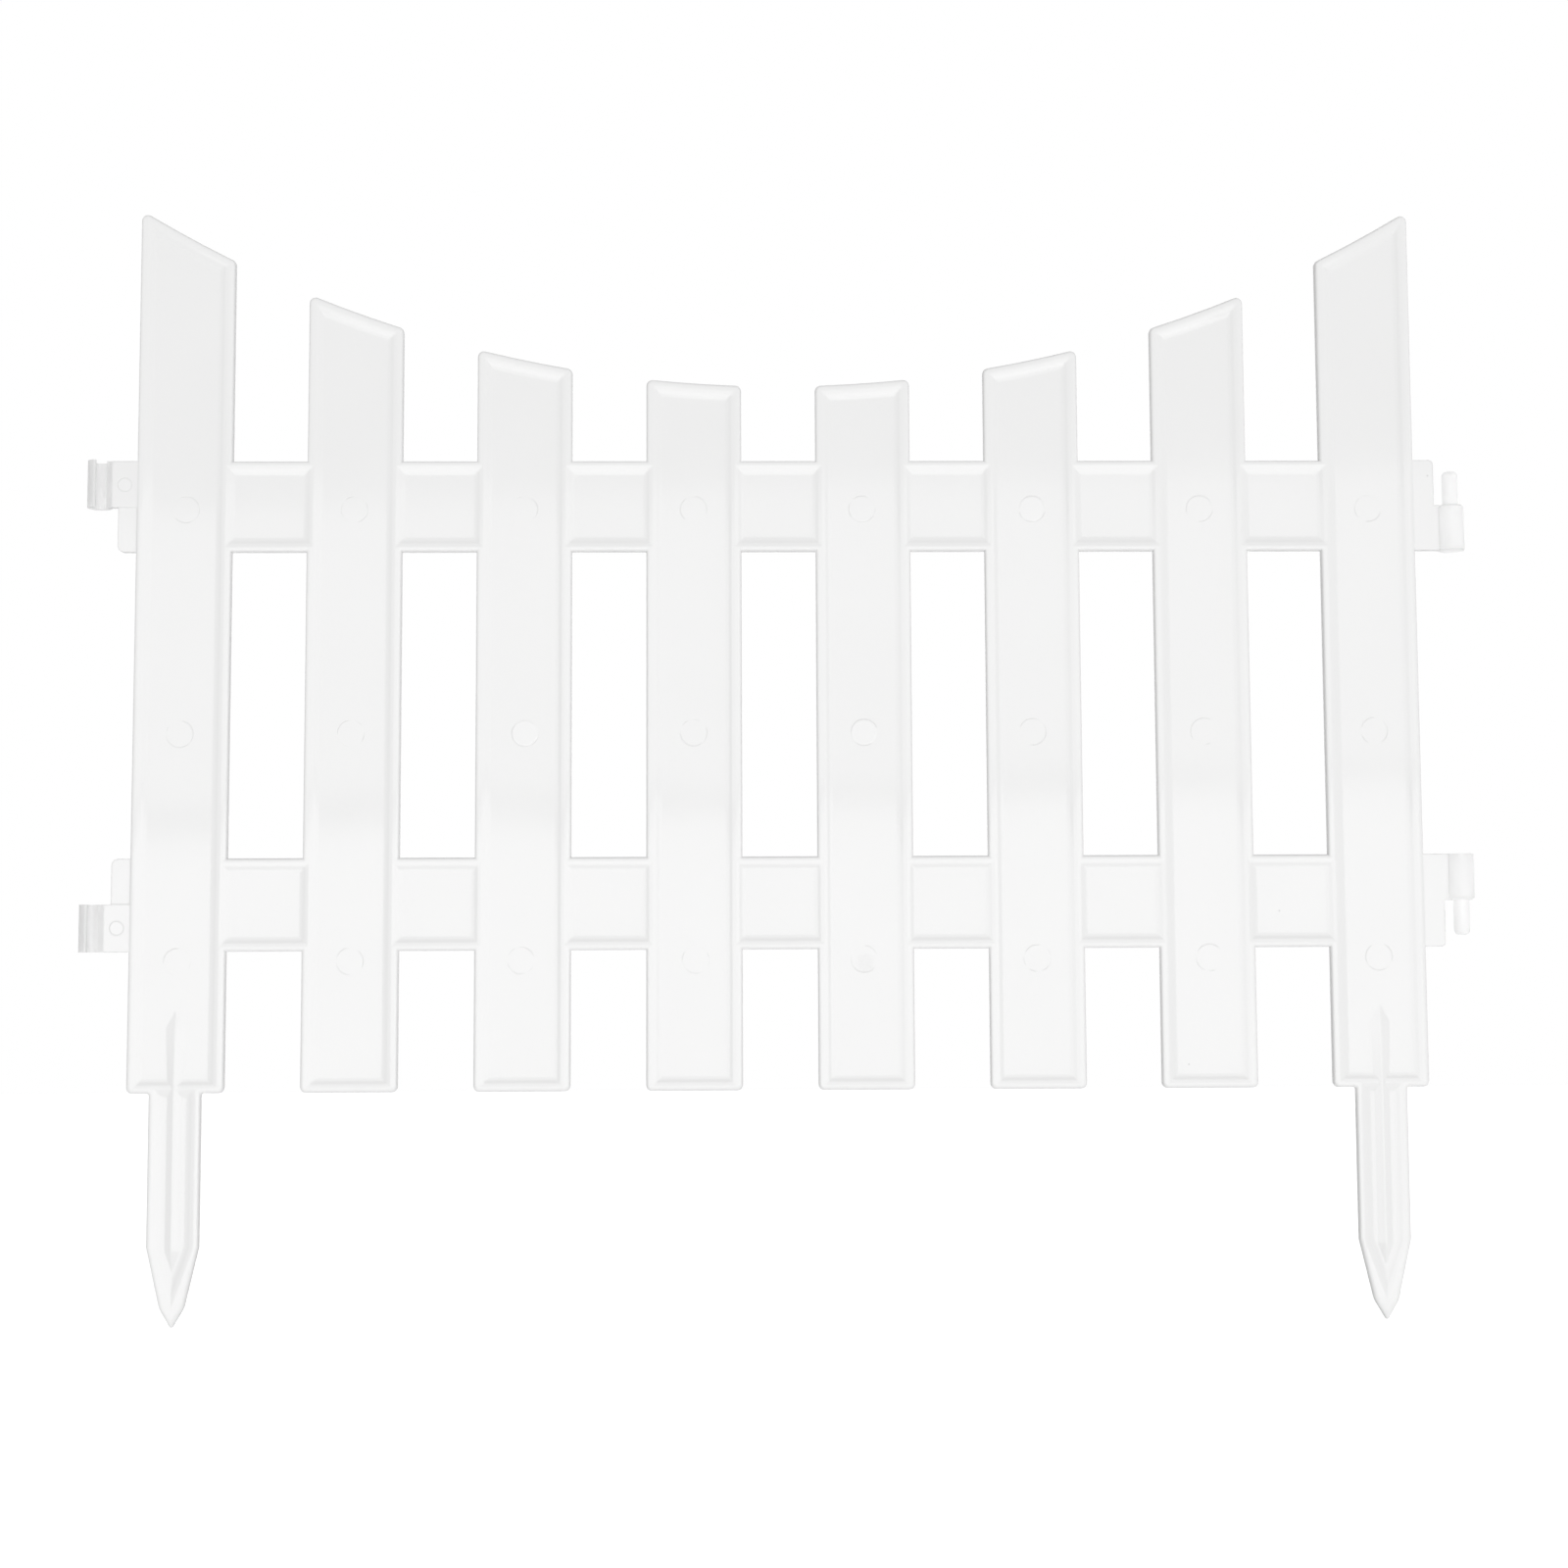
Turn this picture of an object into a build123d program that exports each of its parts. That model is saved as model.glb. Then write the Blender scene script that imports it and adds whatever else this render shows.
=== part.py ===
from build123d import *
import math
import os

# Picket fence edging panel, moulded in one piece. Sizes in mm.
# X runs along the fence, -Y faces the ribbed side, +Z is up and z = 0 is the ground line.
# The origin is under the first picket, on its centre line.

# Pickets and the arc that cuts their tops
picket_count = 8
picket_pitch = 73.0
picket_width = 41.0
picket_depth = 3.6
arc_radius = 528.0
arc_low = 303.2
corner_radius = 2.6

# Rails
rail_height = 39.6
rail_depth = 3.1
lower_rail_bottom = 59.5
rail_spacing = 171.2

# Trays in the ribbed side: depth, rim crests and the profile of the sides
tray_depth = 1.2
tray_slope = 65.0
picket_rim = 3.6
foot_rim = 2.9
rail_rim = 2.9
ridge_crest = 1.6
rim_rounding = 1.6
brim_width = 0.8
brim_depth = 0.3
easing_width = 0.6
easing_depth = 0.3
front_bevel = 0.5

# Stakes under the end pickets
stake_width = 22.0
stake_depth = 2.8
stake_length = 98.0
stake_point = 34.0
stake_nose = 8.8
stake_nose_width = 10.4
stake_nose_rounding = 9.0
stake_tip_rounding = 0.8
stake_rim = 3.0
stake_tray_depth = 1.1
stake_tray_end = 11.5
stake_root_rounding = 1.0
foot_wall_crest = 1.7

# Centre rib of a stake
rib_base = 6.2
rib_crest = 0.8
rib_proud = 0.3
rib_bury = 0.4
rib_start = 21.5
rib_spear = 11.0
rib_foot_width = 6.4
rib_flare_width = 8.2
rib_flare_height = 27.5
rib_flare_sunk = 0.5
rib_fade_height = 39.0

# Couplings: pegs on knuckles at one end, open clips at the other
peg_radius = 3.3
peg_length = 14.8
peg_tip_rounding = 2.0
peg_slot = 4.2
peg_tab_corner = 2.0
knuckle_wall = 2.3
knuckle_bevel = 1.1
clip_clearance = 0.1
clip_wall = 1.8
clip_lip_gap = 0.6
clip_lip_rounding = 0.8
clip_mouth_reach = 2.7
clip_tab_share = 0.51
plain_tab_reach = 7.8
plain_tab_corner = 2.9
tab_thickness = 2.5
tab_below_rim = 0.5
tab_step = 0.3
tab_overlap = 2.6

# Values that follow from the sizes above
run = (picket_count - 1) * picket_pitch
middle = run / 2
half_picket = picket_width / 2
half_rail = rail_height / 2
rim_y = -picket_depth / 2
picket_floor_y = rim_y + tray_depth
stake_floor_y = rim_y + stake_tray_depth
arc_centre = (middle, arc_low + arc_radius)
picket_blank = arc_centre[1] - math.sqrt(arc_radius**2 - (middle + half_picket) ** 2) + 1
upper_rail_bottom = lower_rail_bottom + rail_spacing
rail_bottoms = (lower_rail_bottom, upper_rail_bottom)
axis_reach = (picket_pitch - picket_width) / 2
clip_x = -half_picket - axis_reach
peg_x = run + half_picket + axis_reach
clip_radius = peg_radius + clip_clearance
clip_outer = clip_radius + clip_wall
clip_height = rail_height * clip_tab_share
clip_low = half_rail - clip_height
knuckle_radius = peg_radius + knuckle_wall
tab_y = rim_y + tab_below_rim
tab_back_y = tab_y + tab_thickness

rim_plane = Plane.XZ.offset(-rim_y)
standing = (Align.CENTER, Align.CENTER, Align.MIN)


def picket_outline(x, inset, foot):
    """One picket's outline on the rim plane, its top cut by the common arc."""
    width = picket_width - 2 * inset
    blank = Pos(x, foot) * Rectangle(width, picket_blank, align=(Align.CENTER, Align.MIN))
    return blank - Pos(*arc_centre) * Circle(arc_radius + inset)


def slab(outline, depth):
    """A plate of an outline, from the rim plane towards the front."""
    return extrude(rim_plane * outline, -depth)


def tray(outline, place, depth):
    """A pocket sunk from the rim plane: an eased brim, sloping sides and an eased floor edge."""
    fall = math.tan(math.radians(tray_slope))
    wall = [
        (-brim_width, 0),
        (brim_depth * fall, brim_depth),
        ((depth - easing_depth) * fall, depth - easing_depth),
        (depth * fall + easing_width, depth),
    ]
    levels = [Plane.XZ.offset(-rim_y - sunk) * outline(*place, inset) for inset, sunk in wall]
    return loft(levels, ruled=True)


# Pickets, each with rounded corners and a bevelled front edge
pickets = []
for i in range(picket_count):
    outline = picket_outline(i * picket_pitch, 0, 0)
    picket = slab(fillet(outline.vertices(), corner_radius), picket_depth)
    front_edges = picket.faces().sort_by(Axis.Y)[-1].edges()
    pickets.append(chamfer(front_edges, front_bevel))

# Rails, set back from the pickets' fronts, from the first picket to the last
rails = []
for bottom in rail_bottoms:
    outline = Pos(0, bottom) * Rectangle(run, rail_height, align=(Align.MIN, Align.MIN))
    rails.append(slab(outline, rail_depth))

# Stakes: straight sides, a taper and a rounded nose with a blunt tip
stake_corners = [
    (-stake_width / 2, foot_rim),
    (-stake_width / 2, stake_point - stake_length),
    (-stake_nose_width / 2, stake_nose - stake_length),
    (0, -stake_length),
    (stake_nose_width / 2, stake_nose - stake_length),
    (stake_width / 2, stake_point - stake_length),
    (stake_width / 2, foot_rim),
]
stake_outline = make_face(Polyline(*stake_corners, close=True))
nose = stake_outline.vertices().sort_by(Axis.Y)[1:3]
stake_outline = fillet(nose, stake_nose_rounding)
stake_outline = fillet(stake_outline.vertices().sort_by(Axis.Y)[:1], stake_tip_rounding)
stakes = [slab(Pos(x, 0) * stake_outline, stake_depth) for x in (0, run)]

# One moulding, with rounded roots at the stakes and a rounded rim all along the outline
panel = pickets[0] + pickets[1:] + rails + stakes
upright = panel.edges().filter_by(Axis.Y).filter_by_position(Axis.Z, -0.01, 0.01)
roots = [e for e in upright if abs(abs(e.center().X - middle) - middle) < stake_width]
panel = fillet(roots, stake_root_rounding)
rim_edges = panel.edges().filter_by_position(Axis.Y, rim_y - 0.01, rim_y + 0.01)
panel = fillet(rim_edges, rim_rounding)


def picket_tray(x, inset):
    """The outline of a picket's tray, drawn in by an inset."""
    return picket_outline(x, picket_rim + inset, foot_rim + inset)


def rail_tray(x, z, inset):
    """The outline of the tray in one length of rail, drawn in by an inset."""
    length = picket_pitch - picket_width + 2 * (picket_rim - ridge_crest - inset)
    return Pos(x, z) * Rectangle(length, rail_height - 2 * (rail_rim + inset))


def stake_tray(x, inset):
    """The outline of a stake's tray, drawn in by an inset: straight sides closing in a point."""
    half = stake_width / 2 - stake_rim
    closing = math.atan2(half, stake_point - stake_tray_end)
    point_z = stake_tray_end - stake_length + inset / math.sin(closing)
    top_z = foot_rim - foot_wall_crest - inset
    half = half - inset
    shoulder_z = point_z + half / math.tan(closing)
    left = [(x - half, top_z), (x - half, shoulder_z)]
    right = [(x + half, shoulder_z), (x + half, top_z)]
    return make_face(Polyline(*left, (x, point_z), *right, close=True))


# Trays: one along each picket, one in each length of rail, one along each stake
trays = []
for i in range(picket_count):
    trays.append(tray(picket_tray, (i * picket_pitch,), tray_depth))
for bottom in rail_bottoms:
    for i in range(picket_count - 1):
        place = ((i + 0.5) * picket_pitch, bottom + half_rail)
        trays.append(tray(rail_tray, place, tray_depth))
for x in (0, run):
    trays.append(tray(stake_tray, (x,), stake_tray_depth))
panel = panel - trays

# Centre ribs: along each stake, through the picket's bottom wall, fading out up the picket tray
rib_top_y = rim_y - rib_proud


def gable(width, crest_y, floor_y, z):
    """A rib's section at a height, from its crest down to its foot in a floor."""
    corners = [
        (-rib_crest / 2, crest_y),
        (rib_crest / 2, crest_y),
        (width / 2, floor_y),
        (width / 2, floor_y + rib_bury),
        (-width / 2, floor_y + rib_bury),
        (-width / 2, floor_y),
    ]
    return Plane.XY.offset(z) * make_face(Polyline(*corners, close=True))


spear_z = rib_start + rib_spear - stake_length
fade_z = foot_rim + foot_wall_crest
rib_join_z = foot_rim - foot_wall_crest / 2
flare_top_y = rim_y + rib_flare_sunk
stake_section = gable(rib_base, rib_top_y, stake_floor_y, spear_z)
foot_section = gable(rib_foot_width, rib_top_y, picket_floor_y, fade_z)
flare_section = gable(rib_flare_width, flare_top_y, picket_floor_y, rib_flare_height)
spear_point = Vertex(0, stake_floor_y + rib_bury, rib_start - stake_length)
fade_point = Vertex(0, picket_floor_y + rib_bury, rib_fade_height)
rib = [
    loft([spear_point, stake_section]),
    extrude(stake_section, rib_join_z - spear_z),
    extrude(foot_section, rib_join_z - fade_z),
    loft([foot_section, flare_section], ruled=True),
    loft([flare_section, fade_point]),
]
panel = panel + [Pos(x, 0, 0) * bar for x in (0, run) for bar in rib]


def tab(x0, x1, t0, t1, face_y, rounded):
    """A flat tab beside an end picket, its heights from the rail's centre line."""
    outline = Pos((x0 + x1) / 2, (t0 + t1) / 2) * Rectangle(x1 - x0, t1 - t0)
    for x, t, radius in rounded:
        outline = fillet(outline.vertices().sort_by_distance((x, t, 0))[:1], radius)
    return extrude(Plane.XZ.offset(-face_y) * outline, face_y - tab_back_y)


# Clip end, drawn for the upper rail: an open clip on a tab above, a plain tab below
left_edge = tab_overlap - half_picket
mouth_x = clip_x + clip_mouth_reach
plain_x = -half_picket - plain_tab_reach
clip_tab = tab(mouth_x, left_edge, clip_low, half_rail, tab_y, [])
plain_tab = tab(
    plain_x,
    left_edge,
    -half_rail,
    clip_low,
    tab_y + tab_step,
    [(plain_x, -half_rail, plain_tab_corner)],
)
lip_x = clip_x - clip_lip_gap
outside = Pos(lip_x, tab_y) * Rectangle(
    2 * clip_outer, 2 * clip_outer, align=(Align.MIN, Align.MAX)
)
mouth = Pos(lip_x, 0) * Rectangle(
    mouth_x - lip_x, 2 * clip_outer, align=(Align.MIN, Align.MAX)
)
ring = Pos(clip_x, 0) * (Circle(clip_outer) - Circle(clip_radius)) - outside - mouth
lip = ring.vertices().sort_by_distance((lip_x, -clip_radius - clip_wall / 2, 0))[:2]
ring = fillet(lip, clip_lip_rounding)
clip = extrude(Plane.XY.offset(clip_low) * ring, clip_height)
bore = Pos(clip_x, 0, clip_low) * Cylinder(clip_radius, clip_height, align=standing)
clip_end = clip_tab - bore + clip + plain_tab

# Peg end, drawn for the upper rail: a tab above, a knuckle below, a peg standing on the knuckle
right_edge = run + half_picket - tab_overlap
slot_x = peg_x - peg_radius - peg_slot
peg_tab = tab(right_edge, slot_x, 0, half_rail, tab_y, [(slot_x, half_rail, peg_tab_corner)])
knuckle_tab = tab(right_edge, peg_x, -half_rail, 0, tab_y, [])
knuckle = Pos(peg_x, 0, -half_rail) * Cylinder(knuckle_radius, half_rail, align=standing)
knuckle = chamfer(knuckle.edges().sort_by(Axis.Z)[-1:], knuckle_bevel)
peg = Pos(peg_x, 0, -peg_radius) * Cylinder(peg_radius, peg_length + peg_radius, align=standing)
peg = fillet(peg.edges().sort_by(Axis.Z)[-1:], peg_tip_rounding)
peg_end = peg_tab + knuckle_tab + knuckle + peg

# The lower couplings are the upper ones turned over
couplings = []
for end in (clip_end, peg_end):
    couplings.append(Pos(0, 0, upper_rail_bottom + half_rail) * end)
    couplings.append(Pos(0, 0, lower_rail_bottom + half_rail) * mirror(end, Plane.XY))
panel = panel + couplings

os.makedirs("parts", exist_ok=True)
export_step(panel, "parts/fence_panel.step")
print(round(panel.volume), len(panel.solids()), panel.is_valid, panel.bounding_box())
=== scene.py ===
import math
import bpy
from mathutils import Matrix, Vector


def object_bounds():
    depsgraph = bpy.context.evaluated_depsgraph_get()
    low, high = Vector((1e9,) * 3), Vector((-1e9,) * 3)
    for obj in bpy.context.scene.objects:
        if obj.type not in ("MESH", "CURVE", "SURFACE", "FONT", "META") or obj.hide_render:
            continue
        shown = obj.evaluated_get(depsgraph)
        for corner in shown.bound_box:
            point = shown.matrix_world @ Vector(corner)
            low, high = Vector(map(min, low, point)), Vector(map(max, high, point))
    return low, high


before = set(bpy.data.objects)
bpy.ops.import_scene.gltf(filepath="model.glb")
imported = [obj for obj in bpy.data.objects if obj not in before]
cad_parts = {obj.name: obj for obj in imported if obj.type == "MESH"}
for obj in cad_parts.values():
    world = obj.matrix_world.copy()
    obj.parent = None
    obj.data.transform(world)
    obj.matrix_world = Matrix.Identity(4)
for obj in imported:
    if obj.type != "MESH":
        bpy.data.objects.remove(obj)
cad_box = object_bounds()


# Fence panel: pickets, rails, stakes and couplings, moulded in one shot of white polypropylene.
# Its ribbed side keeps what the mould left: ejector marks, a gate scar, specks and a faint waviness. The
# ejector marks also carry painted shade and painted highlights.

class Shade:
    """One shader socket. Operators on it add Math nodes, and node() adds any other kind."""

    def __init__(self, tree, socket=None):
        self.tree = tree
        self.socket = socket

    def node(self, kind, settings=None, inputs=None, output=0):
        made = self.tree.nodes.new(kind)
        for name, value in (settings or {}).items():
            setattr(made, name, value)
        for name, value in (inputs or {}).items():
            if isinstance(value, Shade):
                self.tree.links.new(value.socket, made.inputs[name])
            else:
                made.inputs[name].default_value = value
        return Shade(self.tree, made.outputs[output] if made.outputs else None)

    def maths(self, operation, *values):
        return self.node("ShaderNodeMath", {"operation": operation}, dict(enumerate(values)))

    def __add__(self, other):
        return self.maths("ADD", self, other)

    def __radd__(self, other):
        return self.maths("ADD", other, self)

    def __sub__(self, other):
        return self.maths("SUBTRACT", self, other)

    def __rsub__(self, other):
        return self.maths("SUBTRACT", other, self)

    def __mul__(self, other):
        return self.maths("MULTIPLY", self, other)

    def __rmul__(self, other):
        return self.maths("MULTIPLY", other, self)

    def __truediv__(self, other):
        return self.maths("DIVIDE", self, other)

    def __abs__(self):
        return self.maths("ABSOLUTE", self)

    def floor(self):
        return self.maths("FLOOR", self)

    def hypot(self, other):
        return self.maths("SQRT", self * self + other * other)

    def fade(self, start, end):
        """1 at start, falling smoothly to 0 at end."""
        return self.node(
            "ShaderNodeMapRange",
            {"interpolation_type": "SMOOTHSTEP"},
            {"Value": self, "From Min": start, "From Max": end, "To Min": 1.0, "To Max": 0.0},
        )

    def parts(self):
        """The X, Y and Z of a vector."""
        split = self.node("ShaderNodeSeparateXYZ", inputs={0: self}).socket.node
        return [Shade(self.tree, part) for part in split.outputs]

    def noise(self, scale, detail):
        """Noise over a place, with scale in waves per metre."""
        return self.node("ShaderNodeTexNoise", inputs={"Vector": self, "Scale": scale, "Detail": detail})

    def mix(self, first, second):
        """The first shader where this is 0, the second where it is 1."""
        return self.node("ShaderNodeMixShader", inputs={0: self, 1: first, 2: second})


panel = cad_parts["fence_panel"]
white_plastic = bpy.data.materials.new("white_polypropylene")
white_plastic.use_nodes = True
white_plastic.node_tree.nodes.clear()
moulding = Shade(white_plastic.node_tree)
place = moulding.node("ShaderNodeTexCoord", output="Object")
x_mm, y_mm, z_mm = (part * 1000 for part in place.parts())

# Ejector marks: three round pins near each picket's centre line. Each is a ring groove darkened with
# painted shade around a raised disc lightened with a painted highlight, brightest on three of them
picket_pitch = 73.0
pin_rise, middle_pin_z, pin_radius, pin_wander = 97.0, 152.3, 5.7, 1.6
tray_floor_y = -0.6
painted_sheen_pins = ((2, 0), (4, 0), (5, 1))
picket = ((x_mm + picket_pitch / 2) / picket_pitch).floor()
row = ((z_mm - middle_pin_z + pin_rise / 2) / pin_rise).floor()
pin = moulding.node("ShaderNodeCombineXYZ", inputs={0: picket, 1: row})
chance = moulding.node("ShaderNodeTexWhiteNoise", {"noise_dimensions": "2D"}, {"Vector": pin})
across = x_mm - picket * picket_pitch + (chance - 0.5) * pin_wander
along = z_mm - middle_pin_z - row * pin_rise
from_pin = across.hypot(along)
on_floor = abs(y_mm - tray_floor_y).fade(0.2, 0.4)
on_pin_rows = on_floor * abs(row).fade(1.1, 1.4)
# The rings show only in patches
ring_patches = place.noise(130.0, 1.0).fade(0.57, 0.42)
pin_ring_and_shade = abs(from_pin - pin_radius).fade(0.05, 0.35) * ring_patches * on_pin_rows
painted_sheen = sum(
    abs(picket - p).fade(0.1, 0.4) * abs(row - r).fade(0.1, 0.4)
    for p, r in painted_sheen_pins
)
pin_disc_and_highlight = from_pin.fade(pin_radius - 0.8, pin_radius) * (painted_sheen + 0.12) * on_pin_rows

# Clip tabs: a small ejector pin on each, a raised disc lightened with a painted highlight inside a ring
# groove darkened with painted shade
rails_middle_z, tab_pin_x, tab_pin_rise, tab_pin_radius = 164.9, -25.7, 95.2, 3.0
tab_face_y = -1.3
from_tab_pin = (x_mm - tab_pin_x).hypot(abs(z_mm - rails_middle_z) - tab_pin_rise)
on_tab = abs(y_mm - tab_face_y).fade(0.1, 0.25)
tab_ring_and_shade = abs(from_tab_pin - tab_pin_radius).fade(0.05, 0.45) * on_tab
tab_disc_and_highlight = from_tab_pin.fade(tab_pin_radius - 0.4, tab_pin_radius) * on_tab

# Gate scar: where the sprue was broken off, rough and slightly raised
gate_x, gate_z, gate_radius = 292.0, 53.0, 5.6
from_gate = (x_mm - gate_x).hypot(z_mm - gate_z)
gate = from_gate.fade(gate_radius * 0.3, gate_radius) * on_floor
grit = gate * place.noise(900.0, 3.0)

# Specks burnt into the plastic: one on the lower rail, one low on a picket, one on a peg's tab
specks = ((469.0, 75.0), (429.0, 10.0), (537.6, 263.4))
on_ribbed_side = y_mm.fade(-0.1, 0.3)
speck = sum((x_mm - x).hypot(z_mm - z).fade(0.2, 0.6) for x, z in specks) * on_ribbed_side

# Cooling: broad waviness of the walls, cloudy flow, and a fine skin from the mould's surface
wave = place.noise(9.0, 1.0)
flow = place.noise(26.0, 3.0)
skin = place.noise(420.0, 2.0)

# Colour: cloudy flow, burnt specks and the gate's grit, plus painted highlights on the pin discs and
# painted shade in their rings
whiteness = 0.862 + flow * 0.022 + pin_disc_and_highlight * 0.016 + tab_disc_and_highlight * 0.012
whiteness = whiteness - pin_ring_and_shade * 0.05 - tab_ring_and_shade * 0.05 - speck * 0.16 - grit * 0.02
colour = moulding.node(
    "ShaderNodeCombineColor",
    inputs={0: whiteness, 1: whiteness, 2: whiteness * 0.998},
)
roughness = 0.055 + flow * 0.03 + gate * 0.1 + pin_disc_and_highlight * 0.02
height_mm = wave * 0.25 + skin * 0.006 + pin_disc_and_highlight * 0.05 - pin_ring_and_shade * 0.08
height_mm = height_mm + tab_disc_and_highlight * 0.08 - tab_ring_and_shade * 0.06 + grit * 0.25

# Edges are slightly round, and light spreading inside the plastic evens out the trays' gentle slopes
edge_radius = 0.001
edges = moulding.node("ShaderNodeBevel", {"samples": 4}, {"Radius": edge_radius})
slant_x, slant_y, slant_z = edges.parts()
gentle = abs(slant_y).fade(0.85, 0.7)
evened = moulding.node(
    "ShaderNodeCombineXYZ",
    inputs={0: slant_x, 1: slant_y * (gentle + 1.0), 2: slant_z},
)
evened = moulding.node("ShaderNodeVectorMath", {"operation": "NORMALIZE"}, {0: evened})
relief = moulding.node("ShaderNodeBump", {}, {
    "Strength": 1.0,
    "Distance": 0.001,
    "Height": height_mm,
    "Normal": evened,
})
plastic_ior = 1.49
plastic = moulding.node("ShaderNodeBsdfPrincipled", {}, {
    "Base Color": colour,
    "Roughness": roughness,
    "IOR": plastic_ior,
    "Normal": relief,
})

# Clips, knuckles and pegs: small enough for light to pass through them, the clips less so
coupling_middle_x, coupling_reach = 3.5 * picket_pitch, 286.5
peg_light, clip_light = 0.6, 0.41
glossy = moulding.node("ShaderNodeBsdfPrincipled", {}, {
    "Base Color": colour,
    "Roughness": 0.08,
    "IOR": plastic_ior,
})
through = moulding.node("ShaderNodeBsdfTranslucent", {}, {"Color": (0.95, 0.95, 0.95, 1.0)})
passing = peg_light - x_mm.fade(-20.0, 20.0) * (peg_light - clip_light)
coupling = passing.mix(glossy, through)
at_ends = abs(x_mm - coupling_middle_x).fade(coupling_reach + 0.5, coupling_reach - 0.5)
moulding.node("ShaderNodeOutputMaterial", {}, {"Surface": at_ends.mix(plastic, coupling)})
panel.data.materials.clear()
panel.data.materials.append(white_plastic)


# Floor: a plain white sweep that the stakes stand on. It shows white and keeps the panel's soft shadow.
# Only the camera sees it, so the light of the low soft box passes.
floor_size, floor_gap = 3.0, 0.0004
floor_middle_x = 0.255
bpy.ops.object.select_all(action="DESELECT")
bpy.ops.mesh.primitive_plane_add(size=floor_size, location=(floor_middle_x, 0.0, cad_box[0].z - floor_gap))
sweep = bpy.context.object
sweep.name = "floor"
sweep.visible_diffuse = False
sweep.visible_glossy = False
sweep.visible_transmission = False
sweep.visible_shadow = False
paper = bpy.data.materials.new("white_paper")
paper.use_nodes = True
paper.node_tree.nodes.clear()
sheet = Shade(paper.node_tree)
lit = sheet.node("ShaderNodeBsdfDiffuse", {}, {"Color": (0.92, 0.92, 0.92, 1.0)})
glow = sheet.node("ShaderNodeEmission", {}, {"Color": (1.0, 1.0, 1.0, 1.0), "Strength": 0.76})
sheet.node("ShaderNodeOutputMaterial", {}, {
    "Surface": sheet.node("ShaderNodeAddShader", {}, {0: lit, 1: glow}),
})
sweep.data.materials.append(paper)


# Studio: two wide soft boxes face the ribbed side, a dim one high and a bright one low.
# A white tent fills in, brighter low in front and to the right, with a glow behind for the plain side.
# The camera and the reflections see the tent as plain white.
def soft_box(name, spot, width, height, watts, roll):
    lamp = bpy.data.lights.new(name, "AREA")
    lamp.shape = "RECTANGLE"
    lamp.size = width
    lamp.size_y = height
    lamp.energy = watts
    holder = bpy.data.objects.new(name, lamp)
    bpy.context.scene.collection.objects.link(holder)
    facing_panel = Matrix.Rotation(math.pi / 2, 4, "X")
    rolled = Matrix.Rotation(math.radians(roll), 4, "Z")
    holder.matrix_world = Matrix.Translation(spot) @ facing_panel @ rolled


box_x, box_y, box_width = 0.3, -4.0, 3.4
soft_box("upper_box", (box_x, box_y, 0.776), box_width, 0.68, 8.5, 2.0)
soft_box("lower_box", (box_x, box_y, -0.229), box_width, 1.22, 25.0, 2.5)

room = bpy.data.worlds.new("studio")
bpy.context.scene.world = room
room.use_nodes = True
room.node_tree.nodes.clear()
air = Shade(room.node_tree)
looked_at, mirrored, seen_through = (
    air.node("ShaderNodeLightPath", output=ray)
    for ray in ("Is Camera Ray", "Is Glossy Ray", "Is Transmission Ray")
)
seen = air.maths("MAXIMUM", air.maths("MAXIMUM", looked_at, mirrored), seen_through)
way = air.node("ShaderNodeTexCoord", output="Generated")
way_y = way.parts()[1]
in_front = way_y.fade(-0.05, 0.05)
behind = way_y.fade(0.96, 0.9)
key_way = Vector((0.5, -0.55, -0.67)).normalized()
towards_key = air.node("ShaderNodeVectorMath", {"operation": "DOT_PRODUCT"}, {0: way, 1: key_way}, "Value")
flags, fill, key, rear, backdrop = (
    air.node("ShaderNodeBackground", {}, {"Color": (1.0, 1.0, 1.0, 1.0), "Strength": level})
    for level in (0.1, 0.25, 1.045, 7.0, 1.0)
)
tent = (towards_key * 0.5 + 0.5).mix(fill, key)
walls = behind.mix(in_front.mix(flags, tent), rear)
air.node("ShaderNodeOutputWorld", {}, {"Surface": seen.mix(walls, backdrop)})
bpy.context.scene.view_settings.view_transform = "Standard"


# Camera: square on to the ribbed side, a little above the ground line and looking slightly up.
# It has a normal lens and a square picture.
focal_px, image_px = 2200.0, 1600.0
camera_spot = (0.2423, -0.9206, 0.0599)
pan, tilt, roll = (math.radians(a) for a in (0.94, 4.36, -0.26))
lens = bpy.data.cameras.new("camera")
lens.sensor_width = 36.0
lens.lens = focal_px / image_px * lens.sensor_width
viewer = bpy.data.objects.new("camera", lens)
bpy.context.scene.collection.objects.link(viewer)
viewer.matrix_world = (
    Matrix.Translation(camera_spot)
    @ Matrix.Rotation(-pan, 4, "Z")
    @ Matrix.Rotation(math.pi / 2 + tilt, 4, "X")
    @ Matrix.Rotation(roll, 4, "Z")
)
bpy.context.scene.camera = viewer
